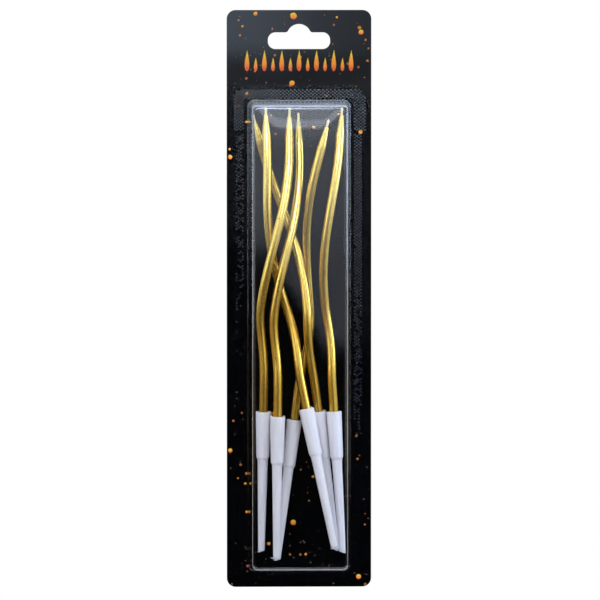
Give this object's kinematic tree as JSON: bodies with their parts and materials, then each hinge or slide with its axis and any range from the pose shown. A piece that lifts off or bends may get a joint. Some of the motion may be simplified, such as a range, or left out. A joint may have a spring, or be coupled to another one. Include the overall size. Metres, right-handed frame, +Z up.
{
  "type": "carded blister pack of spiral candles",
  "caption": "Hanging card with a clear sealed blister that holds gold spiral birthday candles, each with a wick and its foot in a white spiked cake holder.",
  "frame": {"origin": "top of the hang slot, where a hook bears, on the back face of the card", "axes": "+X to the right seen from the front, +Y out of the card's back, +Z up; the front faces -Y"},
  "size_m": [0.065, 0.0178, 0.26],
  "materials": {
    "card_board": "gloss print",
    "clear_sheet": "clear",
    "gold_wax": "metallic gold lacquer on wax",
    "wick_cotton": "waxed cotton",
    "white_plastic": "satin"
  },
  "bodies": {
    "pack": {"card": "card_board", "candle_1": "gold_wax", "candle_2": "gold_wax", "candle_3": "gold_wax", "candle_4": "gold_wax", "candle_5": "gold_wax", "candle_6": "gold_wax", "wick_1": "wick_cotton", "wick_2": "wick_cotton", "wick_3": "wick_cotton", "wick_4": "wick_cotton", "wick_5": "wick_cotton", "wick_6": "wick_cotton"},
    "blister": {"blister": "clear_sheet"},
    "holder_1": {"holder_1": "white_plastic"},
    "holder_2": {"holder_2": "white_plastic"},
    "holder_3": {"holder_3": "white_plastic"},
    "holder_4": {"holder_4": "white_plastic"},
    "holder_5": {"holder_5": "white_plastic"},
    "holder_6": {"holder_6": "white_plastic"}
  },
  "joints": [
    {"name": "blister_lift", "type": "slide", "parent": "pack", "child": "blister", "axis": [0, -1, 0], "range_m": [0, 0.025]},
    {"name": "holder_1_pull", "type": "slide", "parent": "pack", "child": "holder_1", "axis": [-0.0131, 0.0654, -0.9978], "range_m": [0, 0.005]},
    {"name": "holder_2_pull", "type": "slide", "parent": "pack", "child": "holder_2", "axis": [-0.0087, -0.0044, -1], "range_m": [0, 0.003]},
    {"name": "holder_3_pull", "type": "slide", "parent": "pack", "child": "holder_3", "axis": [-0.1219, -0.013, -0.9925], "range_m": [0, 0.0018]},
    {"name": "holder_4_pull", "type": "slide", "parent": "pack", "child": "holder_4", "axis": [0.1951, -0.0599, -0.979], "range_m": [0, 0.007]},
    {"name": "holder_5_pull", "type": "slide", "parent": "pack", "child": "holder_5", "axis": [0.1305, 0.0519, -0.9901], "range_m": [0, 0.007]},
    {"name": "holder_6_pull", "type": "slide", "parent": "pack", "child": "holder_6", "axis": [0.061, -0.0087, -0.9981], "range_m": [0, 0.005]}
  ]
}
